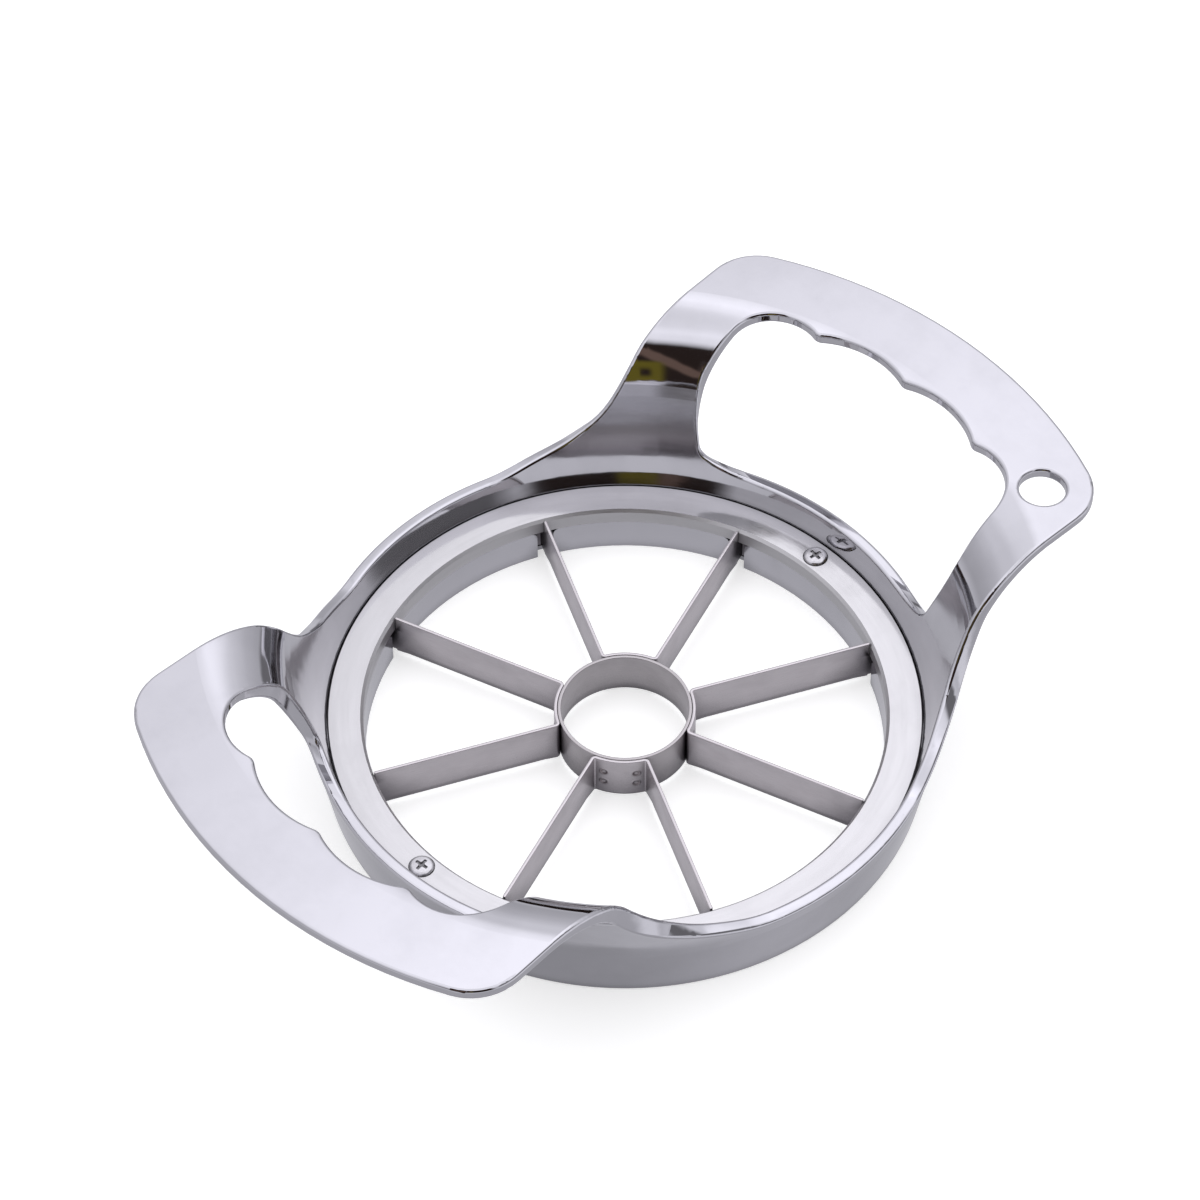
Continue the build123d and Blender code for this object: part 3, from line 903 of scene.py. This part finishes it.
def sky_colour(recipe, height):
    """Colour of the surroundings that goes with the height of a direction alone."""
    ramp = recipe.add("ShaderNodeValToRGB", {0: recipe.remap(height, -1, 1, 0, 1)})
    stops = ramp.color_ramp.elements
    while len(stops) > 1:
        stops.remove(stops[-1])
    for i, (level, value) in enumerate(SKY):
        stop = stops[0] if i == 0 else stops.new((level + 1) / 2)
        stop.position = (level + 1) / 2
        stop.color = scaled(SKY_TINT, value / SKY_LIMIT)
    return ramp.outputs[0]


def sky_shade(recipe, turned, height):
    """Factor on that colour: brighter towards the handle with the hole, and low down to one side of it."""
    toward = along_heading(recipe, turned, 0)
    slant = recipe.math("ADD", toward, recipe.math("MULTIPLY", height, 1.5))
    side = recipe.remap(slant, 1.74, 1.89, 0.825, 1.06)
    raised = recipe.math("MULTIPLY", recipe.remap(height, 0.5, 0.66, 0, 1, smooth=True),
                         recipe.remap(height, 0.97, 0.86, 0, 1, smooth=True))
    shade = recipe.remap(raised, 0, 1, 1, side)
    below = recipe.math("MULTIPLY", recipe.remap(height, -0.88, -0.94, 0, 1, smooth=True),
                        recipe.remap(toward, -1, 1, -0.18, 0.28))
    shade = recipe.math("ADD", shade, below)
    glow = recipe.math("MULTIPLY", sky_lobe(recipe, turned, height, LOW_GLOW), 0.33)
    return recipe.math("ADD", shade, glow)


def light_surroundings(look):
    """A soft studio: bright overhead, grey below, and the dark side where the room is open."""
    world = bpy.data.worlds.new("soft studio")
    bpy.context.scene.world = world
    world.use_nodes = True
    recipe = Recipe(world.node_tree)
    direction = recipe.add("ShaderNodeTexCoord").outputs["Generated"]
    x, y, height = recipe.add("ShaderNodeSeparateXYZ", {0: direction}).outputs
    flat = recipe.add("ShaderNodeCombineXYZ", {0: x, 1: y}).outputs[0]
    turned = recipe.add("ShaderNodeVectorMath", {0: flat}, operation="NORMALIZE").outputs[0]
    dome = recipe.add("ShaderNodeVectorMath", {
        0: sky_colour(recipe, height), "Scale": sky_shade(recipe, turned, height),
    }, operation="SCALE").outputs[0]
    corner = sky_lobe(recipe, turned, height, DARK_CORNER)
    gap = sky_lobe(recipe, turned, height, DARK_GAP)
    colour = recipe.blend(recipe.math("MAXIMUM", corner, gap), dome, SHADE_COLOUR)
    aside = along_heading(recipe, turned, STRIP_TURN)
    leaning = recipe.math("ADD", height, recipe.math("MULTIPLY", aside, STRIP_LEAN))
    layers = (
        (ROOM, height, ROOM_COLOUR), (BROWN_STRIP, leaning, BROWN_COLOUR),
        (OLIVE_PATCH, height, OLIVE_COLOUR), (FIGURE, height, ROOM_COLOUR),
    )
    for lobe, level, paint in layers:
        colour = recipe.blend(sky_lobe(recipe, turned, level, lobe), colour, paint)
    glow = recipe.add("ShaderNodeBackground", {0: colour, 1: look.light})
    output = recipe.add("ShaderNodeOutputWorld")
    recipe.tree.links.new(glow.outputs[0], output.inputs[0])


def place_camera(look):
    """Camera that looks down on the tool from the handle without the hole."""
    a, e, r = look.azimuth, look.elevation, look.roll
    back = Vector((sin(a) * cos(e), -cos(a) * cos(e), sin(e)))
    level = Vector((cos(a), sin(a), 0))
    upright = back.cross(level)
    right = cos(r) * level + sin(r) * upright
    up = cos(r) * upright - sin(r) * level
    aside, above = 0.004324, 0.024437
    eye = back * look.distance - right * aside + up * above
    camera = bpy.data.objects.new("camera", bpy.data.cameras.new("camera"))
    bpy.context.scene.collection.objects.link(camera)
    camera.matrix_world = Matrix((
        (right.x, up.x, back.x, eye.x), (right.y, up.y, back.y, eye.y),
        (right.z, up.z, back.z, eye.z), (0, 0, 0, 1),
    ))
    camera.data.sensor_width = 36
    camera.data.lens = look.lens
    camera.data.clip_start = 0.01
    bpy.context.scene.camera = camera


def lay_floor(look):
    """Round floor a hair below the base, far wider than the tool."""
    steps, radii, height = 96, (0.25, 1.0, 4.0), -0.00005
    around = [(cos(tau * k / steps), sin(tau * k / steps)) for k in range(steps)]
    points = [(r * c, r * s, height) for r in radii for c, s in around] + [(0.0, 0.0, height)]
    faces = [(k, (k + 1) % steps, len(points) - 1) for k in range(steps)]
    for i in range(len(radii) - 1):
        inner, outer = i * steps, (i + 1) * steps
        for k in range(steps):
            n = (k + 1) % steps
            faces.append((inner + k, outer + k, outer + n, inner + n))
    floor = make_object("floor", points, faces)
    floor.data.materials.append(floor_paint(look))
    floor.visible_glossy = False


# ---------------------------------------------------------------- operators


class SLICER_OT_stage(bpy.types.Operator):
    """Lays the floor, lights the surroundings and places the camera"""

    bl_idname = "slicer.stage"
    bl_label = "Stage"

    def execute(self, context):
        look = context.scene.slicer_stage
        context.scene.view_settings.view_transform = "Standard"
        light_surroundings(look)
        place_camera(look)
        lay_floor(look)
        return {"FINISHED"}


class SLICER_OT_casting(bpy.types.Operator):
    """Gives the casting its polished chrome"""

    bl_idname = "slicer.casting"
    bl_label = "Chrome casting"

    def execute(self, context):
        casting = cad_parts["cast_body"]
        chrome = polished_chrome(context.scene.slicer_casting)
        for slot in casting.material_slots:
            slot.material = chrome
        return {"FINISHED"}


class SLICER_OT_ring(bpy.types.Operator):
    """Gives the retaining ring its turned satin face"""

    bl_idname = "slicer.ring"
    bl_label = "Retaining ring"

    def execute(self, context):
        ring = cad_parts["retaining_ring"]
        steel = turned_steel(context.scene.slicer_ring)
        for slot in ring.material_slots:
            slot.material = steel
        return {"FINISHED"}


class SLICER_OT_blades(bpy.types.Operator):
    """Makes the four folded strips with their eight blades"""

    bl_idname = "slicer.blades"
    bl_label = "Blade strips"

    def execute(self, context):
        sizes = context.scene.slicer_blades
        steel = brushed_steel(sizes)
        for number, node in enumerate(STRIPS):
            middle = sizes.heading + HALF_WEDGE + number * pi / 2
            piece = make_strip(f"steel_{node}", sizes, middle)
            stand_in(piece, node, steel)
        return {"FINISHED"}


class SLICER_OT_tube(bpy.types.Operator):
    """Makes the coring tube"""

    bl_idname = "slicer.tube"
    bl_label = "Coring tube"

    def execute(self, context):
        piece = make_tube("steel_core_tube", context.scene.slicer_tube, tube_low.z, tube_high.z)
        stand_in(piece, "core_tube", brushed_steel(context.scene.slicer_tube))
        return {"FINISHED"}


class SLICER_OT_screws(bpy.types.Operator):
    """Makes the two cross-head screws"""

    bl_idname = "slicer.screws"
    bl_label = "Ring screws"

    def execute(self, context):
        sizes = context.scene.slicer_screws
        steel = screw_steel(sizes)
        for node in SCREWS:
            low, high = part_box(node)
            piece = make_screw(f"steel_{node}", sizes, (low.x + high.x) / 2)
            stand_in(piece, node, steel)
        return {"FINISHED"}


class SLICER_PT_pieces(bpy.types.Panel):
    """Pieces of the slicer, their sizes and their colours"""

    bl_label = "Apple Slicer"
    bl_space_type = "VIEW_3D"
    bl_region_type = "UI"
    bl_category = "Slicer"

    def draw(self, context):
        for operator, group in PIECES:
            box = self.layout.box()
            box.operator(operator.bl_idname)
            for key in group.__annotations__:
                box.prop(getattr(context.scene, SETTINGS[group]), key)


SETTINGS = {
    CastingSettings: "slicer_casting",
    RingSettings: "slicer_ring",
    BladeSettings: "slicer_blades",
    TubeSettings: "slicer_tube",
    ScrewSettings: "slicer_screws",
    StageSettings: "slicer_stage",
}

PIECES = (
    (SLICER_OT_stage, StageSettings),
    (SLICER_OT_casting, CastingSettings),
    (SLICER_OT_ring, RingSettings),
    (SLICER_OT_blades, BladeSettings),
    (SLICER_OT_tube, TubeSettings),
    (SLICER_OT_screws, ScrewSettings),
)


def register():
    """Adds the settings, the operators and the panel."""
    for group, name in SETTINGS.items():
        bpy.utils.register_class(group)
        setattr(bpy.types.Scene, name, PointerProperty(type=group))
    for operator, group in PIECES:
        bpy.utils.register_class(operator)
    bpy.utils.register_class(SLICER_PT_pieces)


def unregister():
    """Takes the panel, the operators and the settings away again."""
    bpy.utils.unregister_class(SLICER_PT_pieces)
    for operator, group in reversed(PIECES):
        bpy.utils.unregister_class(operator)
    for group, name in SETTINGS.items():
        delattr(bpy.types.Scene, name)
        bpy.utils.unregister_class(group)


def main():
    """Makes every piece."""
    register()
    bpy.ops.slicer.stage()
    bpy.ops.slicer.casting()
    bpy.ops.slicer.ring()
    bpy.ops.slicer.blades()
    bpy.ops.slicer.tube()
    bpy.ops.slicer.screws()


if __name__ == "__main__":
    main()
